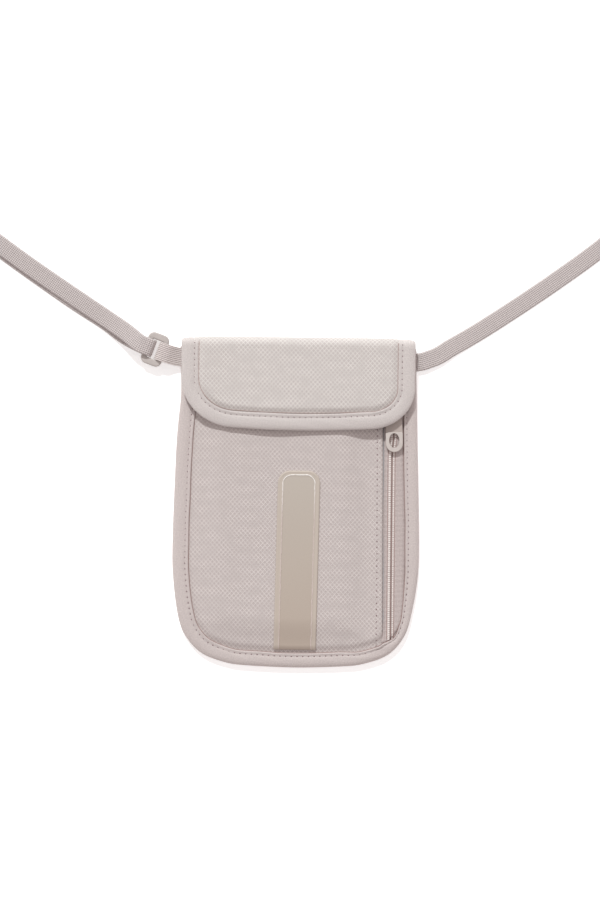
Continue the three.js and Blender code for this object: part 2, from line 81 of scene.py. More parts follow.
def spline(points, per_span, power=0.25):
    """Catmull-Rom through points: power 0.25 is centripetal and 0 uniform."""
    p = np.array(points, float)
    p = np.vstack([2 * p[0] - p[1], p, 2 * p[-1] - p[-2]])
    out = []
    for i in range(1, len(p) - 2):
        a, b, c, d = p[i - 1:i + 3]
        d0, d1, d2 = (max(float(((v - u) ** 2).sum()) ** power, 1e-4) for u, v in ((a, b), (b, c), (c, d)))
        t1 = ((b - a) / d0 - (c - a) / (d0 + d1) + (c - b) / d1) * d1
        t2 = ((c - b) / d1 - (d - b) / (d1 + d2) + (d - c) / d2) * d1
        for k in range(per_span):
            t = k / per_span
            out.append(b + t1 * t + (3 * (c - b) - 2 * t1 - t2) * t ** 2 + (t1 + t2 - 2 * (c - b)) * t ** 3)
    return np.array(out + [p[-2]])


def lengths_along(points):
    """The distance along a line from its first point to each point."""
    return np.concatenate([[0], np.cumsum(np.linalg.norm(np.diff(points, axis=0), axis=1))])


def resample(points, step):
    """Evenly spaced points along a line, and their distances along it."""
    at = lengths_along(points)
    want = np.linspace(0, at[-1], max(int(round(at[-1] / step)), 1) + 1)
    return np.stack([np.interp(want, at, points[:, k]) for k in range(points.shape[1])], 1), want


def smooth_noise(t, seed, period):
    """Seeded smooth noise from -1 to 1 along t, with bumps about one period apart."""
    knots = np.random.default_rng(seed).uniform(-1, 1, 4096)
    at = np.asarray(t, float) / period + 1000
    k = np.floor(at).astype(int)
    f = at - k
    f = f * f * (3 - 2 * f)
    return knots[k % 4096] * (1 - f) + knots[(k + 1) % 4096] * f


def surface_noise(x, y, seed, period):
    """Smooth noise over a surface, from three slanted waves."""
    return (smooth_noise(x * 0.83 + y * 0.56, seed, period)
            + smooth_noise(y * 0.91 - x * 0.41, seed + 1, period)
            + smooth_noise(x * 0.97 - y * 0.24, seed + 2, period * 0.7)) / 3


LEFT_SIDE = [(-x, y) for x, y in RIGHT_SIDE[:-1]]
SEAM = spline([(x, y, 0) for x, y in [*LEFT_SIDE, *RIGHT_SIDE[::-1]]], 10, power=0)[:, :2]


def distance_to(line, x, y):
    """Distance to a line; above the last 10 mm it counts as going straight up."""
    x, y = np.broadcast_arrays(np.asarray(x, float), np.asarray(y, float))
    points = np.stack([x.ravel(), np.minimum(y.ravel(), TOP - 10)], 1)
    a, b = line[:-1], line[1:]
    run = b - a
    least = np.empty(len(points))
    for i in range(0, len(points), 4000):
        to = points[i:i + 4000, None] - a[None]
        t = np.clip((to * run).sum(2) / (run ** 2).sum(1), 0, 1)
        least[i:i + 4000] = np.linalg.norm(to - run * t[..., None], axis=2).min(1)
    return least.reshape(x.shape)


def from_seam(x, y):
    """Distance from the side and bottom seams."""
    return distance_to(SEAM, x, y)


def to_inside(line):
    """The level direction towards the inside, at each point of a line that runs anticlockwise."""
    run = np.gradient(line, axis=0)
    run /= np.linalg.norm(run, axis=1)[:, None]
    return np.column_stack([-run[:, 1], run[:, 0], np.zeros(len(run))])


def inset(outline, distance):
    """Moves an open outline, which runs anticlockwise, towards its inside."""
    return outline + to_inside(outline)[:, :2] * distance


def half_width(outline, y):
    """Half the width of a symmetrical outline at each height."""
    right = outline[len(outline) // 2:]
    return np.interp(y, right[:, 1], right[:, 0])


# ---- Meshes ----
def new_piece(name, verts, faces, material, uv=None, smooth=True):
    """A mesh piece from millimetres; uv holds one pair of millimetres for each vertex."""
    mesh = bpy.data.meshes.new(name)
    mesh.from_pydata([tuple(v) for v in np.asarray(verts, float) * MM], [], faces)
    mesh.validate()
    if uv is not None:
        index = np.zeros(len(mesh.loops), np.int32)
        mesh.loops.foreach_get("vertex_index", index)
        layer = mesh.uv_layers.new(name="UVMap")
        layer.data.foreach_set("uv", np.asarray(uv, np.float32)[index].ravel())
    mesh.polygons.foreach_set("use_smooth", [smooth] * len(mesh.polygons))
    obj = bpy.data.objects.new(name, mesh)
    bpy.context.scene.collection.objects.link(obj)
    if material is not None:
        mesh.materials.append(material)
    return obj


def tube_faces(count, ring):
    """Faces between equal rings of vertices, one ring after another, with both ends closed."""
    faces = [(i * ring + j, i * ring + (j + 1) % ring, (i + 1) * ring + (j + 1) % ring, (i + 1) * ring + j)
             for i in range(count - 1) for j in range(ring)]
    faces.append(tuple(range(ring))[::-1])
    faces.append(tuple(range((count - 1) * ring, count * ring)))
    return faces


def cloth_piece(name, top, under, uv, material):
    """A closed sheet between two equal grids of points, rows by columns."""
    rows, columns = top.shape[:2]
    layer = rows * columns
    verts = np.concatenate([top.reshape(-1, 3), under.reshape(-1, 3)])
    index = np.arange(layer).reshape(rows, columns)
    a, b, c, d = index[:-1, :-1], index[:-1, 1:], index[1:, 1:], index[1:, :-1]
    faces = np.stack([a, b, c, d], -1).reshape(-1, 4).tolist()
    faces += (np.stack([a, d, c, b], -1).reshape(-1, 4) + layer).tolist()
    border = [*index[0, :-1], *index[:-1, -1], *index[-1, :0:-1], *index[:0:-1, 0]]
    for i, p in enumerate(border):
        q = border[(i + 1) % len(border)]
        faces.append((int(q), int(p), int(p) + layer, int(q) + layer))
    return new_piece(name, verts, faces, material, np.concatenate([uv.reshape(-1, 2)] * 2))


def flat_sheet(name, ys, left, right, columns, top, thickness, material):
    """A sheet over rows at ys from left to right, whose top is at top(x, y); its UVs are millimetres."""
    ys = np.asarray(ys, float)
    share = np.linspace(0, 1, columns)
    x = left[:, None] + (right - left)[:, None] * share[None]
    y = np.broadcast_to(ys[:, None], x.shape)
    z = top(x, y)
    over = np.stack([x, y, z], -1)
    return cloth_piece(name, over, over - np.array([0, 0, thickness]), np.stack([x, y], -1), material)


def merged(name, template, faces, places, material, smooth=True):
    """Many copies of one small shape: places holds a 3x3 matrix and an offset for each."""
    verts = np.concatenate([template @ m.T + o for m, o in places])
    every = [tuple(i + k * len(template) for i in f) for k in range(len(places)) for f in faces]
    return new_piece(name, verts, every, material, None, smooth)


def bead(segments=8, rings=5):
    """A unit ball as a template."""
    verts = [(0, 0, -1)]
    for r in range(1, rings):
        a = math.pi * r / rings
        for k in range(segments):
            b = 2 * math.pi * k / segments
            verts.append((math.sin(a) * math.cos(b), math.sin(a) * math.sin(b), -math.cos(a)))
    verts.append((0, 0, 1))
    last = len(verts) - 1
    faces = [(0, 1 + (k + 1) % segments, 1 + k) for k in range(segments)]
    for r in range(rings - 2):
        for k in range(segments):
            p, q = 1 + r * segments, 1 + (r + 1) * segments
            n = (k + 1) % segments
            faces.append((p + k, p + n, q + n, q + k))
    p = 1 + (rings - 2) * segments
    faces += [(p + k, p + (k + 1) % segments, last) for k in range(segments)]
    return np.array(verts), faces


def stitch_row(name, line, pitch, up):
    """Stitches along a line of points: threads lying in the seam and dark holes where they go in."""
    points, _ = resample(np.asarray(line, float), pitch)
    run = np.gradient(points, axis=0)
    run /= np.linalg.norm(run, axis=1)[:, None]
    verts, faces = bead()
    threads, holes = [], []
    for k in range(len(points) - 1):
        t = run[k]
        side = np.cross((0, 0, 1), t)
        side /= np.linalg.norm(side)
        axes = np.stack([t, side, np.cross(t, side)], 1)
        middle = (points[k] + points[k + 1]) / 2
        threads.append((axes * THREAD_SIZE, middle + (0, 0, 0.02 * up)))
        holes.append((axes * HOLE_SIZE, points[k]))
    return (merged(name + "_thread", verts, faces, threads, thread_look),
            merged(name + "_holes", verts, faces, holes, hole_look))


def flat_shape(name, loops, low, high, bevel, material):
    """A plate with rounded rims: the first loop is its outline and the others are holes."""
    data = bpy.data.curves.new(name, "CURVE")
    data.dimensions = "2D"
    data.fill_mode = "BOTH"
    data.bevel_depth = bevel * MM
    data.bevel_resolution = 3
    data.extrude = max((high - low) / 2 - bevel, 0.01) * MM
    data.offset = -bevel * MM
    for loop in loops:
        line = data.splines.new("POLY")
        line.points.add(len(loop) - 1)
        for point, (x, y) in zip(line.points, loop):
            point.co = (x * MM, y * MM, 0, 1)
        line.use_cyclic_u = True
    curve = bpy.data.objects.new(name + "_curve", data)
    scene.collection.objects.link(curve)
    bpy.context.view_layer.update()
    mesh = bpy.data.meshes.new_from_object(curve.evaluated_get(bpy.context.evaluated_depsgraph_get()))
    bpy.data.objects.remove(curve)
    mesh.name = name
    obj = bpy.data.objects.new(name, mesh)
    scene.collection.objects.link(obj)
    co = np.zeros(len(mesh.vertices) * 3)
    mesh.vertices.foreach_get("co", co)
    co = co.reshape(-1, 3) + np.array([0, 0, (low + high) / 2 * MM])
    mesh.vertices.foreach_set("co", co.ravel())
    mesh.materials.clear()
    mesh.materials.append(material)
    mesh.update()
    return obj


def rounded_loop(width, height, radius, n=10):
    w, h = width / 2 - radius, height / 2 - radius
    return [(cx + radius * math.cos(a), cy + radius * math.sin(a))
            for cx, cy, start in ((w, h, 0), (-w, h, 0.5), (-w, -h, 1), (w, -h, 1.5))
            for a in (math.pi * (start + 0.5 * k / n) for k in range(n + 1))]


def moved(obj, angle, at):
    """Turns a piece's mesh about Z and moves it, in millimetres, leaving the object at the origin."""
    co = np.zeros(len(obj.data.vertices) * 3)
    obj.data.vertices.foreach_get("co", co)
    c, n = math.cos(angle), math.sin(angle)
    co = co.reshape(-1, 3) @ np.array([[c, n, 0], [-n, c, 0], [0, 0, 1]]) + np.array(at) * MM
    obj.data.vertices.foreach_set("co", co.ravel())
    obj.data.update()
    return obj


# ---- Materials ----
def linear(color):
    parts = (v / 255 for v in color)
    return [c / 12.92 if c <= 0.04045 else ((c + 0.055) / 1.055) ** 2.4 for c in parts] + [1]


class Look:
    """A procedural material whose patterns are measured in millimetres of cloth."""

    def __init__(self, name, roughness, specular=0.25, sheen=0.0):
        self.material = bpy.data.materials.new(name)
        self.material.use_nodes = True
        self.nodes, self.links = self.material.node_tree.nodes, self.material.node_tree.links
        self.shader = self.nodes["Principled BSDF"]
        self.shader.inputs["Roughness"].default_value = roughness
        self.shader.inputs["Specular IOR Level"].default_value = specular
        self.shader.inputs["Sheen Weight"].default_value = sheen

    def put(self, value, socket):
        if isinstance(value, bpy.types.NodeSocket):
            self.links.new(value, socket)
        else:
            socket.default_value = value

    def cloth(self):
        """The UV in millimetres, as a vector and its two parts."""
        node = self.nodes.new("ShaderNodeUVMap")
        node.uv_map = "UVMap"
        parts = self.nodes.new("ShaderNodeSeparateXYZ")
        self.links.new(node.outputs[0], parts.inputs[0])
        return node.outputs[0], parts.outputs[0], parts.outputs[1]

    def place(self):
        """The place in the piece, in millimetres."""
        node = self.nodes.new("ShaderNodeTexCoord")
        scale = self.nodes.new("ShaderNodeVectorMath")
        scale.operation = "SCALE"
        self.links.new(node.outputs["Object"], scale.inputs[0])
        scale.inputs["Scale"].default_value = 1000
        return scale.outputs[0]

    def math(self, operation, a, b=0.0):
        node = self.nodes.new("ShaderNodeMath")
        node.operation = operation
        self.put(a, node.inputs[0])
        self.put(b, node.inputs[1])
        return node.outputs[0]

    def wave(self, value, pitch):
        """A cosine of that pitch, from -1 to 1."""
        return self.math("COSINE", self.math("MULTIPLY", value, 2 * math.pi / pitch))

    def between(self, value, low, high, to_low=0.0, to_high=1.0):
        node = self.nodes.new("ShaderNodeMapRange")
        for socket, v in zip(node.inputs, (value, low, high, to_low, to_high)):
            self.put(v, socket)
        return node.outputs[0]

    def noise(self, vector, scale, detail=2.0):
        node = self.nodes.new("ShaderNodeTexNoise")
        node.inputs["Scale"].default_value = scale
        node.inputs["Detail"].default_value = detail
        self.links.new(vector, node.inputs["Vector"])
        return node.outputs[0]

    def mix(self, share, a, b):
        node = self.nodes.new("ShaderNodeMix")
        node.data_type = "RGBA"
        self.put(share, node.inputs[0])
        self.put(linear(a) if isinstance(a, tuple) else a, node.inputs[6])
        self.put(linear(b) if isinstance(b, tuple) else b, node.inputs[7])
        return node.outputs[2]

    def finish(self, color, height, distance):
        self.links.new(color, self.shader.inputs["Base Color"])
        bump = self.nodes.new("ShaderNodeBump")
        bump.inputs["Distance"].default_value = distance * MM
        self.links.new(height, bump.inputs["Height"])
        self.links.new(bump.outputs[0], self.shader.inputs["Normal"])
        return self.material


def darker(color, share):
    return tuple(c * share for c in color)


def dobby(name, base):
    """Dobby cloth: a net of thin light diagonals that fades in patches, over slightly pinker cells."""
    k = Look(name, 0.88, 0.18, 0.12)
    uv, u, v = k.cloth()
    across, up = k.math("DIVIDE", u, 2.45), k.math("DIVIDE", v, 2.7)
    a = k.wave(k.math("ADD", across, up), 1)
    b = k.wave(k.math("SUBTRACT", across, up), 1)
    patch = k.between(k.noise(uv, 0.13), 0.36, 0.6, 0.3, 1)
    line = k.math("MULTIPLY", k.between(k.math("MAXIMUM", a, b), 0.74, 0.99), patch)
    cell = k.math("POWER", k.math("MULTIPLY", k.between(a, 1, -1), k.between(b, 1, -1)), 2)
    weave = k.math("MULTIPLY", k.wave(u, 0.62), k.wave(v, 0.62))
    grain = k.noise(uv, 1.5, 3)
    color = k.mix(k.between(grain, 0.3, 0.7), darker(base, 0.935), darker(base, 0.99))
    color = k.mix(k.math("MULTIPLY", line, 0.9), color, tuple(min(c * 1.14, 240) for c in base))
    color = k.mix(k.math("MULTIPLY", cell, 0.36), color, (base[0] * 0.93, base[1] * 0.85, base[2] * 0.865))
    height = k.math("ADD", k.math("MULTIPLY", line, 0.8), k.math("MULTIPLY", weave, 0.25))
    height = k.math("ADD", height, k.math("MULTIPLY", grain, 0.7))
    height = k.math("SUBTRACT", height, k.math("MULTIPLY", cell, 0.25))
    return k.finish(color, height, 0.14)


def twill(name, base, pitch=0.9, strength=0.13):
    k = Look(name, 0.85, 0.2, 0.1)
    uv, u, v = k.cloth()
    rib = k.wave(k.math("ADD", u, v), pitch)
    grain = k.noise(uv, 1.3, 3)
    color = k.mix(k.between(k.math("ADD", k.math("MULTIPLY", rib, 0.12), grain), 0.3, 0.72),
                  darker(base, 0.94), darker(base, 1.035))
    return k.finish(color, k.math("ADD", k.math("MULTIPLY", rib, 0.5), grain), strength)


def ribbed(name, base, rib_pitch, row_pitch, rib_share=0.6, strength=0.2):
    """Webbing or tape: ribs along its length and weave rows across it."""
    k = Look(name, 0.86, 0.2, 0.1)
    uv, u, v = k.cloth()
    rib, row = k.wave(u, rib_pitch), k.wave(v, row_pitch)
    grain = k.noise(uv, 1.4, 3)
    form = k.math("ADD", k.math("MULTIPLY", rib, rib_share), k.math("MULTIPLY", row, 1 - rib_share))
    shade = k.math("ADD", k.math("MULTIPLY", form, 0.16), grain)
    color = k.mix(k.between(shade, 0.25, 0.75), darker(base, 0.9), darker(base, 1.04))
    return k.finish(color, k.math("ADD", form, k.math("MULTIPLY", grain, 0.6)), strength)


def moulded(name, base, roughness, grain_scale=2.5, strength=0.03, spread=0.03):
    k = Look(name, roughness, 0.4)
    place = k.place()
    grain = k.noise(place, grain_scale, 4)
    wear = k.noise(place, 0.25, 2)
    shade = k.math("ADD", k.math("MULTIPLY", grain, 0.4), k.math("MULTIPLY", wear, 0.6))
    color = k.mix(k.between(shade, 0.35, 0.65), darker(base, 1 - spread), darker(base, 1 + spread))
    return k.finish(color, grain, strength)


def label_rubber():
    k = Look("label_rubber", 0.55, 0.35)
    uv, u, v = k.cloth()
    grain = k.noise(uv, 2.2, 4)
    middle = k.between(v, -82.5, 17.9, 0.1, 1.5)
    rim = k.between(k.math("ABSOLUTE", k.math("SUBTRACT", u, middle)), 8.8, 9.3)
    rim = k.math("MAXIMUM", rim, k.between(v, 15.4, 15.8))
    color = k.mix(k.between(v, -82, 18), (179, 164, 151), (187, 178, 168))
    color = k.mix(k.math("MULTIPLY", rim, 0.7), color, (195, 183, 172))
    color = k.mix(k.math("MULTIPLY", k.between(grain, 0.35, 0.7), 0.3), color, (197, 186, 176))
    return k.finish(color, grain, 0.05)


def label_welt():
    """White round the label's top, fading to the cloth's pink lower down."""
    k = Look("label_welt", 0.5, 0.4)
    uv, _, _ = k.cloth()
    height = k.nodes.new("ShaderNodeSeparateXYZ")
    k.links.new(k.place(), height.inputs[0])
    grain = k.noise(uv, 1.2, 2)
    color = k.mix(k.between(height.outputs[1], -10, 16), (205, 190, 184), (240, 236, 232))
    color = k.mix(k.math("MULTIPLY", k.between(grain, 0.45, 0.65), 0.5), color, (198, 186, 177))
    return k.finish(color, grain, 0.05)


def looped_tape(name, base):
    k = Look(name, 0.95, 0.1, 0.3)
    uv, _, _ = k.cloth()
    fuzz = k.noise(uv, 2.0, 5)
    color = k.mix(k.between(fuzz, 0.3, 0.7), darker(base, 0.85), darker(base, 1.05))
    return k.finish(color, fuzz, 0.4)


# The flap's colour is the panel cloth painted lighter: the flap is one cloth with the rear, so its extra
# brightness is painted light
PANEL, FLAP_PAINTED_LIGHTER, BINDING_TINT = (202, 193, 190), (211, 205, 201), (210, 199, 196)
panel_look = dobby("panel_fabric", PANEL)
flap_painted_lighter_look = dobby("flap_fabric", FLAP_PAINTED_LIGHTER)
binding_look = twill("binding_fabric", BINDING_TINT)
# The flap's binding is the same tape as the body's binding, painted lighter: painted light
flap_binding_painted_lighter_look = twill("flap_binding_fabric", (215, 207, 204))
lining_look = twill("lining_fabric", (176, 172, 173), 0.7, 0.06)
loop_look = looped_tape("loop_tape", (190, 181, 178))
hook_look = looped_tape("hook_tape", (184, 176, 173))
label_look = label_rubber()
welt_look = label_welt()
# Painted shade: a dark sheet for the shade in the groove between the zip's two rows of loops
zip_groove_shade_look = moulded("zip_groove_painted_shade", (156, 133, 128), 0.8)
# Painted shade: dark threads for the shaded crevices at the feet of the lips and beside the zip's loops
crevice_shade_look = moulded("crease", (166, 136, 131), 0.95, 4)
tape_look = ribbed("zip_tape", (204, 191, 188), 1.6, 0.7, 0.15, 0.1)
coil_look = moulded("coil_plastic", (232, 223, 218), 0.5)
slider_look = moulded("slider_metal", (178, 167, 161), 0.45)
tab_look = moulded("pull_tab", (178, 166, 160), 0.5)
rim_look = moulded("pull_tab_rim", (200, 191, 186), 0.5)
strap_look = ribbed("webbing", (213, 203, 201), 1.05, 1.1, 0.5, 0.26)
tab_web_look = ribbed("tab_webbing", (224, 213, 210), 1.0, 1.2, 0.85, 0.22)
ring_look = moulded("ring_plastic", (191, 183, 179), 0.45)
thread_look = moulded("thread", (206, 197, 195), 0.8, 4)
hole_look = moulded("stitch_hole", (118, 90, 94), 0.95, 4)


# ---- Camera, floor and light ----
scene = bpy.context.scene
scene.view_settings.view_transform = "Standard"
camera = bpy.data.objects.new("camera", bpy.data.cameras.new("camera"))
camera.data.lens = 100
camera.data.sensor_width = 36
camera.data.clip_end = 10
camera.location = (0.00174, 0.02953, 1.40625)
camera.rotation_euler = (0, 0, math.radians(0.7))
scene.collection.objects.link(camera)
scene.camera = camera

floor_look = bpy.data.materials.new("floor")
floor_look.use_nodes = True
floor_shader = floor_look.node_tree.nodes["Principled BSDF"].inputs
floor_shader["Base Color"].default_value = (0.97, 0.97, 0.97, 1)
floor_shader["Roughness"].default_value = 0.9
floor_shader["Emission Color"].default_value = (1, 1, 1, 1)
floor_shader["Emission Strength"].default_value = 0.36
FLOOR_HALF = 8000
floor = new_piece("floor", [(-FLOOR_HALF, -FLOOR_HALF, 0), (FLOOR_HALF, -FLOOR_HALF, 0),
                            (FLOOR_HALF, FLOOR_HALF, 0), (-FLOOR_HALF, FLOOR_HALF, 0)],
                  [(0, 1, 2, 3)], floor_look, smooth=False)

sun = bpy.data.objects.new("key", bpy.data.lights.new("key", "SUN"))
sun.data.energy = 2.45
sun.data.color = (0.93, 0.98, 0.98)
sun.data.angle = math.radians(3.5)
sun.rotation_euler = Vector((-0.25, 1.0, 0.76)).to_track_quat("Z", "Y").to_euler()
scene.collection.objects.link(sun)
world = bpy.data.worlds.new("studio")
world.use_nodes = True
sky = world.node_tree.nodes["Background"].inputs
sky["Color"].default_value = (1.0, 0.93, 0.92, 1)
sky["Strength"].default_value = 0.625
scene.world = world


# ---- The neck strap ----
def ring_turn():
    centre = RING_AT + TO_LEFT * BAR_FROM_CENTRE
    points = []
    for share in (-4, -1.5, 0, 0.25, 0.5, 0.75, 1, 4):
        angle = min(max(share, 0), 1) * math.pi
        straight = -share if share < 0 else max(share - 1, 0)
        points.append(centre + TO_LEFT * (straight - (TURN_RADIUS + 0.6) * math.sin(angle))
                      + np.array([0, 0, TURN_RADIUS * math.cos(angle)]))
    return points


def ribbon_frames(points):
    """The level direction across a ribbon and its thickness direction, at each point of its middle line."""
    tangent = np.gradient(points, axis=0)
    tangent /= np.linalg.norm(tangent, axis=1)[:, None]
    across = np.zeros_like(points)
    last = None
    for i, t in enumerate(tangent):
        level = np.cross(t, (0, 0, 1))
        size = np.linalg.norm(level)
        if size > 0.4:
            level /= size
            last = -level if last is not None and last @ level < 0 else level
        across[i] = last
    thick = np.cross(across, tangent)
    return across, thick / np.linalg.norm(thick, axis=1)[:, None]


def webbing(name, middle, width, thickness, material, columns=12, step=1.5, relief=0.0):
    points, along = resample(middle, step)
    across, thick = ribbon_frames(points)
    share = np.linspace(-1, 1, columns + 1)
    edge = thickness / 2 * np.sqrt(np.clip(1 - np.abs(share) ** 14, 0, 1)) + 0.06
    edge[[0, -1]] *= 0.5
    edge += relief * np.cos(share * width * math.pi / 1.05) * (np.abs(share) < 0.97)
    offsets = np.concatenate([share, share[::-1]]) * width / 2
    heights = np.concatenate([edge, -edge[::-1]])
    ring = len(offsets)
    verts = (points[:, None] + across[:, None] * offsets[None, :, None]
             + thick[:, None] * heights[None, :, None]).reshape(-1, 3)
    uv = np.stack(np.broadcast_arrays(offsets[None, :], along[:, None]), -1).reshape(-1, 2)
    return new_piece(name, verts, tube_faces(len(points), ring), material, uv), points


def place(obj, body, slot, *nodes):
    """Says which body a piece rides on, and hides the CAD nodes that it stands for. The slot is not used."""
    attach(obj, body)
    if nodes:
        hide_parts(*nodes)
    return obj


def place_stitches(name, line, body, slot, pitch=STITCH_PITCH, up=1):
    for made in stitch_row(name, line, pitch, up):
        place(made, body, slot)


middle = spline([*STRAP_ROUTE, *ring_turn(), *RETURN_ROUTE], 12)
middle[:, 2] = np.maximum(middle[:, 2], LOWEST_STRAP)
strap, strap_line = webbing("neck_strap_webbing", middle, 10, 0.95, strap_look)
place(strap, "pouch_body", "webbing", "neck_strap")

# ---- Heights of the body's layers ----
BINDING_WIDTH = 9.3
FABRIC = 0.6
LINING = 0.3
MOUTH_Y = 84
LABEL_Y = (-82.5, 17.9)
LABEL_HALF = 11.85
LABEL_RADIUS = 7


def front_edge(y):
    """The front panel's folded edge beside the zip, which leans a little."""
    return 48.3 + 0.009 * (24 - y)


def front_top(x, y):
    d = from_seam(x, y)
    inner = np.minimum(d - 2, front_edge(y) - x + 1)
    folded = 0.4 * ramp(1.4 - (front_edge(y) - x), 0, 1.4) ** 2
    puffs = 0.16 * surface_noise(x, y, 11, 21) * ramp(d, 12, 24)
    return 3.1 + 1.4 * ramp(d, 8.7, 12.6) + 2.5 * ramp(inner, 8, 26) - folded + puffs


def rear_top(x, y):
    return FABRIC + 0.1 + 0.9 * (1 - ramp(from_seam(x, y), BINDING_WIDTH + 0.3, BINDING_WIDTH + 3.7))


def divider_top(x, y):
    return np.maximum(front_top(x, y) - 1.1, rear_top(x, y) + 0.5)


def panel(name, margin, top_y, right, step, top, thickness, look):
    """A sheet inside the seam by margin, up to top_y, and on the right as far as right(y)."""
    outline = inset(SEAM, margin)
    ys = np.arange(margin - TOP + 0.5, top_y + step / 2, step)
    half = half_width(outline, ys)
    columns = int(2 * half.max() / step)
    return flat_sheet(name, ys, -half, np.minimum(half, right(ys)), columns, top, thickness, look)


def to_the_seam(y):
    return np.full_like(y, np.inf)


place(panel("rear_fabric", 3.2, 87, to_the_seam, 1.6, rear_top, FABRIC, panel_look),
      "pouch_body", "panel_fabric", "rear_panel")
place(panel("front_fabric", 3.2, MOUTH_Y, front_edge, 1.1, front_top, FABRIC, panel_look),
      "pouch_body", "panel_fabric", "front_panel")
place(panel("pocket_divider", 3.4, 78.5, to_the_seam, 2.4, divider_top, LINING, lining_look),
      "pouch_body", "lining_fabric", "zip_pocket_lining")


def card_shield():
    ys = np.linspace(-74, 84, 60)
    corner = 24
    cut = corner - np.sqrt(np.clip(corner ** 2 - np.clip(-74 + corner - ys, 0, corner) ** 2, 0, None))
    return flat_sheet("card_shield", ys, cut - 54, 44 - cut, 40, lambda x, y: rear_top(x, y) + 0.5,
                      LINING, lining_look)


place(card_shield(), "pouch_body", "lining_fabric", "rear_lining")


# ---- Body binding ----
def strip_round(name, edge, inward, section, look, normal=None):
    """A strip round an edge: section(i, s) gives, at point i and distance s along the edge, distances
    in from the edge and heights along the normal, which is straight up unless it is given."""
    if normal is None:
        normal = np.tile([0, 0, 1.0], (len(edge), 1))
    along = lengths_along(edge)
    verts, uv = [], []
    for i in range(len(edge)):
        profile = section(i, along[i])
        verts.append(edge[i] + profile[:, :1] * inward[i] + profile[:, 1:] * normal[i])
        run = lengths_along(profile)
        uv.append(np.stack([np.full(len(run), along[i]), run], 1))
    faces = tube_faces(len(edge), len(verts[0]))
    return new_piece(name, np.concatenate(verts), faces, look, np.concatenate(uv))


def fine_line(name, line, radius, look):
    """A thin round thread along a line; made dark, it is painted shade, such as the line of shade at the foot of
    a binding's lip.
    """
    turns = np.linspace(0, 2 * math.pi, 6, endpoint=False)
    circle = radius * np.column_stack([np.cos(turns), np.sin(turns)])
    return strip_round(name, line, to_inside(line), lambda i, s: circle, look)


def lip_width(edge, along):
    """How far the front lip reaches: less on the right, and gathered where the zip runs under it."""
    x, y = edge[:, 0], edge[:, 1]
    side = 8.3 + 0.7 * ramp(-x, 20, 60) - 0.6 * ramp(x, 40, 64)
    up_the_side = np.interp(y, [-77, -66, -55, -45, -35], [5.5, 5.1, 6.0, 7.0, 7.7])
    along_the_foot = np.interp(x, [26, 38, 51, 60], [8.3, 7.1, 7.0, 5.5])
    gathered = np.where((y > -77) & (x > 55), up_the_side, along_the_foot)
    corner = np.exp(-(((x - 57) / 8) ** 2 + ((y + 78) / 9) ** 2))
    crease = 1.2 * smooth_noise(along, 5, 4.2) * corner
    return np.where(x > 26, np.minimum(gathered, side), side) + 0.2 * smooth_noise(along, 3, 14) + crease


def body_binding():
    """The binding tape, and the lines of its front stitches, its back stitches and the painted shade at its lip's
    foot.
    """
    low = SEAM[SEAM[:, 1] < 85]
    left, right = (np.array([[s * half_width(SEAM, 87), 87]]) for s in (-1, 1))
    flat, _ = resample(np.vstack([left, low, right]), 0.8)
    flat[:, 0] += 1.5 * np.exp(-((flat[:, 1] - 61) / 17) ** 2) * (flat[:, 0] < 0)
    pulled = np.exp(-(((flat[:, 0] - 66) / 11) ** 2 + ((flat[:, 1] + 64) / 14) ** 2))
    flat += pulled[:, None] * np.array([-0.6, 0.35])
    inward = to_inside(flat)
    edge = np.column_stack([flat, np.zeros(len(flat))])
    width = lip_width(edge, lengths_along(flat))
    outer = [(1.0, 3.55), (0.985, 4.1), (0.94, 4.32), (0.85, 4.12), (0.78, 3.78), (0.72, 4.0), (0.64, 4.16),
             (0.5, 4.18), (0.36, 4.14), (0.22, 3.95), (0.1, 3.45), (0.03, 2.8), (0, 2.05), (0.03, 1.3),
             (0.1, 0.65), (0.22, 0.18), (0.4, 0.02), (0.73, 0.0), (0.78, 0.12), (0.84, 0.02), (0.97, 0.05),
             (1.0, 0.3), (0.98, 0.68), (0.5, 0.7), (0.12, 0.95), (0.075, 2.05), (0.12, 3.15), (0.5, 3.4),
             (0.98, 3.42)]
    shares, heights = np.array(outer).T

    def section(i, s):
        pucker = 0.1 * math.cos(2 * math.pi * s / STITCH_PITCH) * np.exp(-((shares - 0.78) / 0.1) ** 2)
        lumps = 0.1 * smooth_noise(s + 40 * shares, 9, 6) * (heights > 3.9)
        gape = 0.8 * np.exp(-((flat[i, 0] - 51) ** 2 + (flat[i, 1] + 84) ** 2) / 30) * ramp(shares, 0.6, 1)
        return np.column_stack([shares * width[i], heights + pucker * (heights > 3.5) + lumps
                                + gape * (heights > 3.3)])

    made = strip_round("body_binding_tape", edge, inward, section, binding_look)
    lines = [np.column_stack([flat + inward[:, :2] * (0.78 * width)[:, None], np.full(len(flat), z)])
             for z in (3.84, 0.04)]
    foot = flat + inward[:, :2] * (width + 0.12)[:, None]
    lines.append(np.column_stack([foot, np.full(len(foot), 3.42)]))
    return made, lines


binding_tape, (upper_line, lower_line, foot_line) = body_binding()
place(binding_tape, "pouch_body", "binding_fabric", "body_binding")
# A dark thread at the foot of the binding's lip: painted shade for its crevice
place(fine_line("binding_lip_shade_line", foot_line[6:-6], 0.16, crevice_shade_look), "pouch_body", "binding_fabric")
place_stitches("binding_stitches_front", upper_line, "pouch_body", "binding_fabric")
place_stitches("binding_stitches_back", lower_line, "pouch_body", "binding_fabric", up=-1)

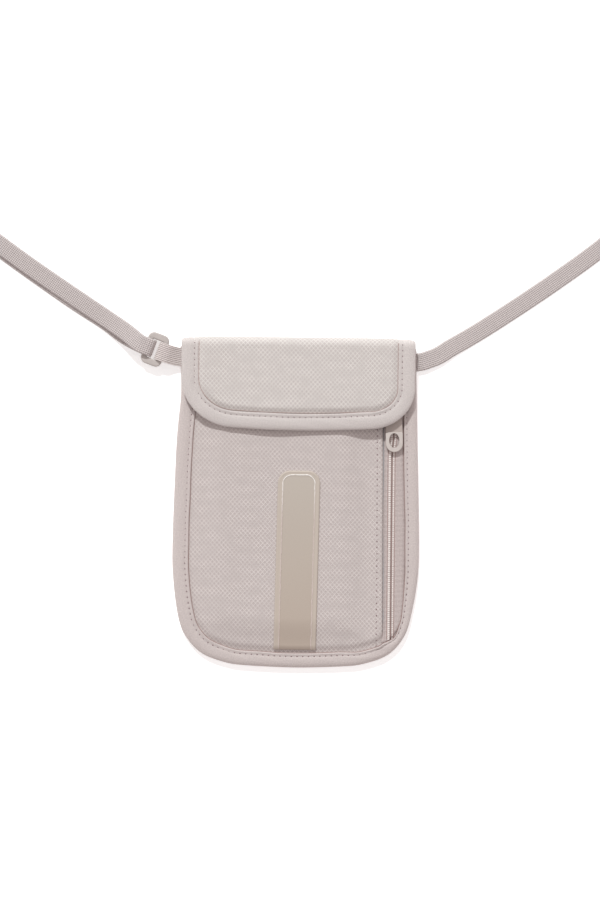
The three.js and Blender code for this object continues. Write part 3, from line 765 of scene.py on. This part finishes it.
seam_ys = np.linspace(-80, 83, 160)
seam_x = front_edge(seam_ys) - 3.2 - 0.3 * ramp(-seam_ys, 40, 80)
place_stitches("zip_edge_stitches", np.column_stack([seam_x, seam_ys, front_top(seam_x, seam_ys) - 0.02]),
               "pouch_body", "panel_fabric", pitch=3.5)


# ---- Label patch, without lettering ----
def label_centre(y):
    """The middle of the label at each height: it leans a little to the right."""
    low, high = LABEL_Y
    return 0.1 + 1.4 * (y - low) / (high - low)


def label():
    low, high = LABEL_Y
    radius = LABEL_RADIUS
    ys = np.concatenate([np.arange(low, high - radius, 0.55), high - radius * (1 - np.sin(
        np.linspace(0, math.pi / 2, 22)))])
    rise = np.clip(ys - (high - radius), 0, radius)
    cut = radius - np.sqrt(np.clip(radius ** 2 - rise ** 2, 0.02, None))
    centre, half = label_centre(ys), LABEL_HALF - cut

    def top(x, y):
        side = LABEL_HALF - np.abs(x - label_centre(y))
        near_top = high - y
        corner = np.hypot(np.clip(radius - side, 0, None), np.clip(radius - near_top, 0, None))
        edge = np.where((side < radius) & (near_top < radius), radius - corner, np.minimum(side, near_top))
        wobble = 0.18 * smooth_noise(y + 3 * x, 21, 3.5)
        line = np.exp(-((edge - 2.7 + wobble) / 0.28) ** 2)
        rim = 0.1 * np.exp(-((edge - 0.7) / 0.5) ** 2)
        return front_top(x, y) + 0.72 - 0.35 * (1 - ramp(edge, 0, 0.4)) + rim + 0.13 * line

    return flat_sheet("label_rubber_patch", ys, centre - half, centre + half, 61, top, 0.7, label_look)


place(label(), "pouch_body", "label_patch", "label_patch")


def label_ridge():
    """The thin uneven welt inside the label's rim."""
    low, high = LABEL_Y
    half, near_top, radius = 9.0, 2.3, 5.0
    sides = np.arange(low + 0.5, high - near_top - radius, 0.6)
    turn = np.linspace(0, math.pi / 2, 14)
    path = [(-half, y) for y in sides]
    path += [(-half + radius * (1 - math.cos(a)), high - near_top - radius * (1 - math.sin(a))) for a in turn]
    path += [(half - radius * (1 - math.sin(a)), high - near_top - radius * (1 - math.cos(a))) for a in turn]
    path += [(half, y) for y in sides[::-1]]
    flat, along = resample(np.array(path), 0.45)
    flat[:, 0] += label_centre(flat[:, 1]) + 0.13 * smooth_noise(along, 23, 1.7)
    flat[:, 1] += 0.1 * smooth_noise(along, 24, 1.9)
    z = front_top(flat[:, 0], flat[:, 1]) + 0.78
    turns = np.linspace(0, 2 * math.pi, 8, endpoint=False)

    def section(i, s):
        size = 0.3 + 0.1 * smooth_noise(s, 25, 1.3)
        return np.column_stack([size * np.cos(turns), 0.6 * size * np.sin(turns)])

    return strip_round("label_welt", np.column_stack([flat, z]), to_inside(flat), section, welt_look)


place(label_ridge(), "pouch_body", "label_patch")


# ---- Zip ----
ZIP_X = 53.5


def chain_x(y):
    """The line between the two rows of loops, which leans a little, as far as the slider allows."""
    return ZIP_X - 0.08 + 0.0035 * (24 - y) + 0.9 * np.exp(-((y - 38) / 6.5) ** 2)


def tape_top(x, y):
    lip = np.interp(y, [-80, -77, -66, -55, -45, -35], [6.5, 5.6, 5.1, 6.0, 7.0, 7.7])
    rise = 0.14 * np.exp(-((x - chain_x(y) - 3.4) / 1.1) ** 2)
    raised = rise - 0.85 * ramp(front_edge(y) + 1.9 - x, 0, 1.3)
    return 2.8 + 1.1 * ramp(from_seam(x, y) - lip, 0, 1.4) + raised + 0.01 * surface_noise(x, y, 31, 4)


def zip_tape(name, side, node):
    ys = np.arange(-81, 84.1, 0.9)
    edge = half_width(inset(SEAM, 3.2), ys)
    if side < 0:
        left, right = front_edge(ys) - 0.6, chain_x(ys) - 0.42
    else:
        left, right = chain_x(ys) + 0.42, edge
    shown = right - left > 0.4
    right = np.minimum(right, edge)
    place(flat_sheet(name, ys[shown], left[shown], right[shown], 16, tape_top, LINING, tape_look),
          "pouch_body", "zip_tape", node)


zip_tape("zip_tape_left_cloth", -1, "zip_tape_left")
zip_tape("zip_tape_right_cloth", 1, "zip_tape_right")

# A dark sheet under the loops, standing for the shade in the zip's groove: painted shade
groove_shade_ys = np.arange(-79, 83.1, 1)
place(flat_sheet("zip_groove_shade_sheet", groove_shade_ys, chain_x(groove_shade_ys) - 0.7, chain_x(groove_shade_ys) + 0.7, 5,
                 lambda x, y: tape_top(x, y) - 0.4, 0.2, zip_groove_shade_look), "pouch_body", "zip_coil")


def loops(name, x, size, pitch, node):
    verts, faces = bead(8, 6)
    lean = 0.35
    turn = np.array([[math.cos(lean), -math.sin(lean), 0], [math.sin(lean), math.cos(lean), 0], [0, 0, 1]])
    ys = np.arange(-76, 83, pitch)
    places = [(turn * np.array(size), np.array([chain_x(y) + x, y, float(tape_top(chain_x(y) + x, y))]))
              for y in ys]
    place(merged(name, verts, faces, places, coil_look), "pouch_body", "zip_coil", node)


loops("zip_loops_left", -1.15, (0.75, 0.46, 0.17), 1.15, "zip_coil_left")
loops("zip_loops_right", 0.98, (0.44, 0.5, 0.15), 1.15, "zip_coil_right")


# Dark threads along both sides of the zip's loops: painted shade
edge_ys = np.arange(-76, 83.1, 0.8)
for label, offset in (("left", -2.25), ("right", 1.78)):
    edge_x = chain_x(edge_ys) + offset
    edge_line = np.column_stack([edge_x, edge_ys, tape_top(edge_x, edge_ys)])
    place(fine_line("zip_chain_shade_line_" + label, edge_line, 0.15, crevice_shade_look), "pouch_body", "zip_tape")


def pull_tab():
    ring_y = -17.15
    arc = [(4.85 * math.cos(a), ring_y + 4.85 * math.sin(a)) for a in np.linspace(math.pi, 2 * math.pi, 30)]
    outline = arc + [(4.75, -10.8), (4.4, -4.2), (3.6, -2.9), (2.6, -2.2), (2.6, 0.4), (1.9, 1.1), (-1.9, 1.1),
                     (-2.6, 0.4), (-2.6, -2.2), (-3.6, -2.9), (-4.4, -4.2), (-4.75, -10.8)]
    hole = [(2.8 * math.cos(a), -15.5 + 4.1 * math.sin(a))
            for a in np.linspace(0, 2 * math.pi, 40, endpoint=False)]
    rim = [(4.72 * math.cos(a), ring_y + 4.72 * math.sin(a)) for a in np.linspace(math.pi, 2 * math.pi, 30)]
    rim += [(4.72, -11.3), (4.2, -10.8), (-4.2, -10.8), (-4.72, -11.3)]
    at = (ZIP_X + 0.6, 50.9, 0)
    slack = math.radians(1.5)
    plate = moved(flat_shape("pull_tab_plate", [outline, hole], 5.1, 5.9, 0.22, tab_look), slack, at)
    raised = moved(flat_shape("pull_tab_ring", [rim, hole], 5.7, 6.35, 0.25, rim_look), slack, at)
    place(plate, "pull_tab", "pull_tab", "zip_pull_tab")
    place(raised, "pull_tab", "pull_tab")


pull_tab()


# ---- Flap: fabric and binding that go round the fold ----
FLAP_HALF = 65.7
FLAP_BOTTOM = 41.6
FLAP_BOW = 1.2
LEFT_CORNER, RIGHT_CORNER = (31, 28), (25.5, 23)
FOLD_Y = 87


def flap_level(x, y):
    """The underside of the flap's binding, which lifts a little off the pouch near the label."""
    lift = 1.1 * np.exp(-((x + 17) / 18) ** 2) * (1 - ramp(y, 42, 60))
    return 7.5 - ramp(np.abs(x), 52, 66) + lift


def flap_side(across, down):
    """Half of the flap's edge, from the middle of its lower edge to the fold."""
    corner_x = FLAP_HALF - across
    half = [(x, FLAP_BOTTOM - FLAP_BOW * (1 - (x / corner_x) ** 2))
            for x in np.linspace(0, corner_x * 0.9, 10)]
    half += [(corner_x + across * math.sin(a), FLAP_BOTTOM + down * (1 - math.cos(a)))
             for a in np.linspace(0, math.pi / 2, 24)]
    return np.array(half + [(FLAP_HALF, 75), (FLAP_HALF, FOLD_Y)])


FLAP_LEFT, FLAP_RIGHT = flap_side(*LEFT_CORNER) * (-0.991, 1), flap_side(*RIGHT_CORNER)
FLAP_EDGE = resample(np.vstack([FLAP_LEFT[:0:-1], FLAP_RIGHT]), 0.8)[0]


def flap_depth(x, y):
    """Distance in from the flap's sides and lower edge."""
    return distance_to(FLAP_EDGE, x, y)


def flap_top(x, y):
    crown = 0.22 * np.exp(-((y - 64) / 11) ** 2) * ramp(50 - np.abs(x), 0, 24)
    soft = 0.14 * surface_noise(x, y, 51, 19) + crown
    return flap_level(x, y) + 1.7 + 1.35 * ramp(flap_depth(x, y), 9.2, 13) + soft


def fold_radius(x):
    return (flap_top(x, np.full_like(x, FOLD_Y)) - 0.25) / 2


def flap_fabric():
    """One cloth from the rear, round the fold and down to the flap's lower edge."""
    share = np.linspace(0, 1, 131)
    low_y = 41.9
    flat_ys = np.linspace(FOLD_Y, low_y, 56)
    left = np.minimum(np.interp(flat_ys, FLAP_LEFT[:, 1], FLAP_LEFT[:, 0]) + 1, -20)
    right = np.maximum(np.interp(flat_ys, FLAP_RIGHT[:, 1], FLAP_RIGHT[:, 0]) - 1, 20)
    rows, normals = [], []
    x0 = left[0] + (right[0] - left[0]) * share
    r = fold_radius(x0)
    drop = 1.0 * ramp(np.abs(x0), 48, 66)
    centre = TOP - drop - r
    for a in np.linspace(0, math.pi, 22):
        rows.append(np.stack([x0, centre + r * math.sin(a), 0.25 + r - r * math.cos(a)], 1))
        normals.append(np.stack([0 * x0, np.full_like(x0, math.sin(a)), np.full_like(x0, -math.cos(a))], 1))
    for y, low_x, high_x in zip(flat_ys[1:], left[1:], right[1:]):
        x = low_x + (high_x - low_x) * share
        rows.append(np.stack([x, np.full_like(x, y), flap_top(x, np.full_like(x, y))], 1))
        normals.append(np.tile([0.0, 0, 1], (len(x), 1)))
    start = [np.stack([x0, np.full_like(x0, y), np.full_like(x0, 0.25)], 1) for y in (84.5, 86)]
    rows, normals = start + rows, [np.tile([0.0, 0, -1], (len(x0), 1))] * 2 + normals
    top, out = np.array(rows), np.array(normals)
    length = lengths_along(top[:, top.shape[1] // 2])
    uv = np.stack([top[..., 0], np.broadcast_to(-length[:, None], top.shape[:2])], -1)
    return cloth_piece("flap_cloth", top, top - out * FABRIC, uv, flap_painted_lighter_look)


def flap_binding():
    """The binding down one side of the fold, round the flap and up to the other side of the fold."""
    edge = [np.array([x, y, float(flap_level(x, y)) + 1.3]) for x, y in FLAP_EDGE]
    inward = list(to_inside(FLAP_EDGE))
    normal = [np.array([0, 0, 1.0])] * len(edge)
    for side, at_end in ((-1, False), (1, True)):
        top = float(flap_level(np.array(FLAP_HALF), np.array(FOLD_Y))) + 1.3
        base = 2.1
        r = (top - base) / 2
        across = FLAP_HALF if at_end else FLAP_LEFT[-1, 0]
        centre_y = TOP - 2.0 - r
        turn = [(np.array([across, centre_y + r * math.sin(a), base + r + r * math.cos(a)]),
                 np.array([0, math.sin(a), math.cos(a)])) for a in np.linspace(0.15, math.pi, 16)]
        points, outs = [p for p, _ in turn], [n for _, n in turn]
        ins = [np.array([-side * 1.0, 0, 0])] * len(points)
        if at_end:
            edge, inward, normal = edge + points, inward + ins, normal + outs
        else:
            edge, inward, normal = points[::-1] + edge, ins + inward, outs[::-1] + normal
    edge, inward, normal = np.array(edge), np.array(inward), np.array(normal)
    profile = np.array([(9.4, 0.85), (9.25, 1.3), (8.8, 1.46), (7.9, 1.25), (7.3, 0.9), (6.8, 1.15), (5.9, 1.34),
                        (4.4, 1.36), (3.0, 1.28), (1.6, 1.05), (0.6, 0.6), (0.12, 0.2), (0, -0.1), (0.2, -0.6),
                        (0.9, -1.05), (2.2, -1.25), (5, -1.3), (9.1, -1.3), (9.2, -0.75), (5, -0.7), (1.5, -0.45),
                        (1.1, 0), (1.5, 0.35), (5, 0.62), (9, 0.68)])

    def section(i, s):
        u, h = profile.T
        wide = 1 + 0.03 * smooth_noise(s, 61, 13)
        pucker = 0.1 * math.cos(2 * math.pi * s / STITCH_PITCH) * np.exp(-((u - 7.3) / 0.9) ** 2)
        lumps = 0.09 * smooth_noise(s + 4 * u, 63, 6)
        return np.column_stack([u * wide, h + (pucker + lumps) * (h > 0.95)])

    made = strip_round("flap_binding_tape", edge, inward, section, flap_binding_painted_lighter_look, normal)
    line = edge + inward * 7.3 + normal * 0.96
    keep = line[:, 2] > 6
    foot = edge[keep] + inward[keep] * 9.75
    foot[:, 2] = flap_top(foot[:, 0], foot[:, 1]) + 0.02
    return made, line[keep], foot


flap_cloth = flap_fabric()
flap_tape, flap_line, flap_foot = flap_binding()
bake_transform(flap_cloth)
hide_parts("flap_panel", "flap_fold")
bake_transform(flap_tape)
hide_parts("flap_binding")
# A dark thread at the foot of the flap binding's lip: painted shade for its crevice
place(fine_line("flap_lip_shade_line", flap_foot[2:-2], 0.15, crevice_shade_look), "flap", "binding_fabric")
place_stitches("flap_stitches", flap_line, "flap", "binding_fabric")


def tape_patch(name, x, low_y, high_y, low_z, high_z, look, radius=3):
    ys = np.linspace(low_y, high_y, 34)
    near = np.clip(radius - np.minimum(ys - low_y, high_y - ys), 0, radius)
    cut = radius - np.sqrt(radius ** 2 - near ** 2 + 1e-6)
    return flat_sheet(name, ys, cut - x, x - cut, 90, lambda a, b: high_z + 0.05 * surface_noise(a, b, 71, 3),
                      high_z - low_z, look)


place(tape_patch("hook_tape_strip", 30, 56, 72, 8.3, 9, hook_look),
      "flap", "touch_tape", "hook_strip")
place(tape_patch("loop_tape_strip", 30, 56, 72, 7.35, 8.05, loop_look),
      "pouch_body", "touch_tape", "loop_strip")
place(tape_patch("flap_lining_cloth", 50, 55.5, 86.5, 9.25, 9.5, lining_look, 9),
      "flap", "lining_fabric", "flap_lining")


def mouth_hem():
    """The folded tape over the pocket's mouth."""
    x = np.linspace(-56.4, 48.2, 110)
    edge = np.column_stack([x, np.full(len(x), 84.9), front_top(x, np.full(len(x), 82.0)) - 0.3])
    profile = np.array([(6, 0.42), (5.9, 0.72), (5.2, 0.82), (4.6, 0.68), (4, 0.82), (2, 0.86), (0.6, 0.7),
                        (0, 0), (0.6, -0.7), (3, -0.85), (6, -0.8), (5.9, -0.4), (1.2, -0.35), (0.9, 0),
                        (1.2, 0.35)])
    made = strip_round("mouth_hem_tape", edge, np.tile([0, -1.0, 0], (len(x), 1)), lambda i, s: profile,
                       binding_look)
    return made, edge + np.array([0, -4.6, 0.72])


hem_tape, hem_line = mouth_hem()
place(hem_tape, "pouch_body", "binding_fabric", "mouth_hem")
place_stitches("hem_stitches", hem_line, "pouch_body", "binding_fabric")


# ---- Ring, tab and adjuster ----
def ring():
    loops = [rounded_loop(12.1, 18.4, 3.4), rounded_loop(6.4, 10.8, 0.7)[::-1]]
    made = flat_shape("strap_ring_moulding", loops, RING_AT[2] - 1.1, RING_AT[2] + 1.1, 0.7, ring_look)
    return moved(made, -RING_TILT, (RING_AT[0], RING_AT[1], 0))


place(ring(), "ring", "ring_plastic", "strap_ring")


def tab_line():
    bar = RING_AT - TO_LEFT * BAR_FROM_CENTRE
    radius = 2.33
    turn = [bar + TO_LEFT * (radius + 0.5) * math.sin(a) + np.array([0, 0, radius * math.cos(a)])
            for a in np.linspace(0, math.pi, 9)]
    return spline([(-64.5, 80.5, 2.75), (-67.3, 81, 3.0), (-70.2, 81.6, 4.1), (-73, 82.4, 5.5), *turn,
                   (-73, 82.4, 1.2), (-70.2, 81.6, 1.5), (-67.3, 81, 1.8), (-64.5, 80.5, 1.8)], 8)


tab, _ = webbing("strap_tab_webbing", tab_line(), 10.4, 0.72, tab_web_look, 80, 0.6, 0.07)
place(tab, "pouch_body", "webbing", "strap_tab")


def adjuster():
    """Two rails, two raised end bars and a low middle bar, with rounded edges."""
    x, y = -200, 202
    bars = [((-8, -7, 0.1), (-5.5, 7, 4)), ((5.5, -7, 0.1), (8, 7, 4)), ((-6, -7, 2.8), (6, -4.9, 4)),
            ((-6, 4.9, 2.8), (6, 7, 4)), ((-6, -1.3, 0.1), (6, 1.3, 1))]
    verts, faces = [], []
    cube = [(0, 1, 3, 2), (4, 6, 7, 5), (0, 4, 5, 1), (2, 3, 7, 6), (0, 2, 6, 4), (1, 5, 7, 3)]
    for low, high in bars:
        base = len(verts)
        verts += [(x + (low, high)[i][0], y + (low, high)[j][1], (low, high)[k][2])
                  for i in (0, 1) for j in (0, 1) for k in (0, 1)]
        faces += [tuple(base + v for v in f) for f in cube]
    made = new_piece("strap_adjuster_moulding", verts, faces, ring_look)
    bevel = made.modifiers.new("edges", "BEVEL")
    bevel.width = 0.45 * MM
    bevel.segments = 3
    return made


adjuster_piece = place(adjuster(), "pouch_body", "ring_plastic", "strap_adjuster")

# The slider and the stops are hard and keep their CAD shape, with softened edges
for node, look in (("zip_slider", slider_look), ("zip_top_stop", coil_look), ("zip_bottom_stop", coil_look)):
    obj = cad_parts[node]
    obj.data.materials.clear()
    obj.data.materials.append(look)
    bevel = obj.modifiers.new("edges", "BEVEL")
    bevel.width = 0.12 * MM
    bevel.segments = 2

# The strap's end that is sewn in under the flap
root_line = spline([(58, 77.2, 2.05), (62, 78.3, 2.05), (66, 79.2, 2), (70, 80, 1.9)], 4)
root, _ = webbing("strap_root_webbing", root_line, 9.9, 0.85, strap_look)
place(root, "pouch_body", "webbing")
